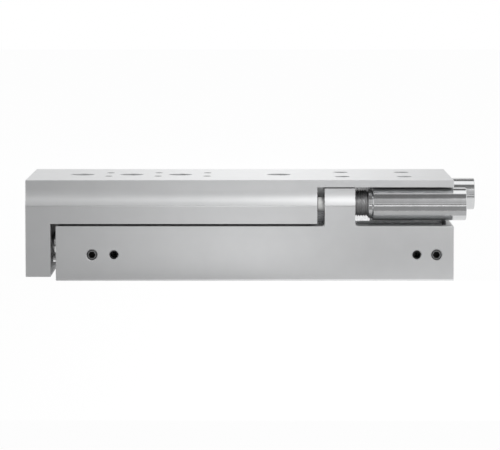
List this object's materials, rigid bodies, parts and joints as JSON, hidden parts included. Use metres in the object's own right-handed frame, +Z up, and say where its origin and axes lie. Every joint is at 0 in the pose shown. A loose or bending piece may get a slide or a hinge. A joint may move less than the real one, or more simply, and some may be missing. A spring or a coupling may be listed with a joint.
{
  "type": "pneumatic mini slide",
  "caption": "Flat pneumatic mini slide: an air cylinder in the housing moves an L-shaped slide with a yoke on a caged ball guide, cushioned by absorbers in both end positions.",
  "frame": {"origin": "middle of the housing's bottom face", "axes": "+X along the stroke towards the absorber end (the slide advances along -X), +Y away from the pictured side, +Z up from the base to the slide's top"},
  "size_m": [0.1838, 0.064, 0.0404],
  "materials": {
    "anodised_aluminium": "satin anodised",
    "hardened_steel": "ground",
    "polished_steel": "polished",
    "thread_steel": "dark thread",
    "black_screw": "black oxide",
    "plug_steel": "plain",
    "seal_rubber": "matt",
    "brass_cage": "plain",
    "tip_polymer": "plain",
    "magnet": "plain"
  },
  "bodies": {
    "housing_body": {"housing": "anodised_aluminium", "guide_rail": "hardened_steel", "guide_rail_screws": "black_screw", "cage_stop_pins": "hardened_steel", "rod_bearing": "polished_steel", "rod_seal": "seal_rubber", "bearing_o_ring": "seal_rubber", "bearing_circlip": "black_screw", "port_plugs": "plug_steel", "yoke_buffer": "polished_steel", "sleeve_rest_pin": "black_screw", "advance_stop_pin": "hardened_steel", "retract_absorber_body": "thread_steel", "retract_absorber_plug": "thread_steel", "retract_stop_sleeve": "polished_steel"},
    "slide_body": {"slide": "anodised_aluminium", "slide_rail_front": "hardened_steel", "slide_rail_rear": "hardened_steel", "slide_rail_screws": "black_screw", "piston_rod": "polished_steel", "piston": "anodised_aluminium", "piston_seals": "seal_rubber", "piston_magnet": "magnet", "piston_nut": "plug_steel", "yoke_screw": "black_screw", "retract_stop_pin": "hardened_steel", "advance_absorber_body": "thread_steel", "advance_absorber_plug": "thread_steel", "advance_stop_sleeve": "polished_steel"},
    "cage_front_body": {"ball_cage_front": "brass_cage", "balls_front": "hardened_steel"},
    "cage_rear_body": {"ball_cage_rear": "brass_cage", "balls_rear": "hardened_steel"},
    "retract_plunger_body": {"retract_plunger": "polished_steel", "retract_plunger_tip": "tip_polymer"},
    "advance_plunger_body": {"advance_plunger": "polished_steel", "advance_plunger_tip": "tip_polymer"}
  },
  "joints": [
    {"name": "slide_travel", "type": "slide", "parent": "housing_body", "child": "slide_body", "axis": [-1, 0, 0], "range_m": [0, 0.08]},
    {"name": "cage_front_travel", "type": "slide", "parent": "housing_body", "child": "cage_front_body", "axis": [-1, 0, 0], "range_m": [0, 0.04]},
    {"name": "cage_rear_travel", "type": "slide", "parent": "housing_body", "child": "cage_rear_body", "axis": [-1, 0, 0], "range_m": [0, 0.04]},
    {"name": "retract_plunger_travel", "type": "slide", "parent": "housing_body", "child": "retract_plunger_body", "axis": [-1, 0, 0], "range_m": [0, 0.008]},
    {"name": "advance_plunger_travel", "type": "slide", "parent": "slide_body", "child": "advance_plunger_body", "axis": [1, 0, 0], "range_m": [0, 0.008]}
  ],
  "couplings": [
    {"joint": "cage_front_travel", "follows": "slide_travel", "ratio": 0.5},
    {"joint": "cage_rear_travel", "follows": "slide_travel", "ratio": 0.5},
    {"joint": "retract_plunger_travel", "follows": "slide_travel", "ratio": 0.1},
    {"joint": "advance_plunger_travel", "follows": "slide_travel", "ratio": 0.1}
  ]
}
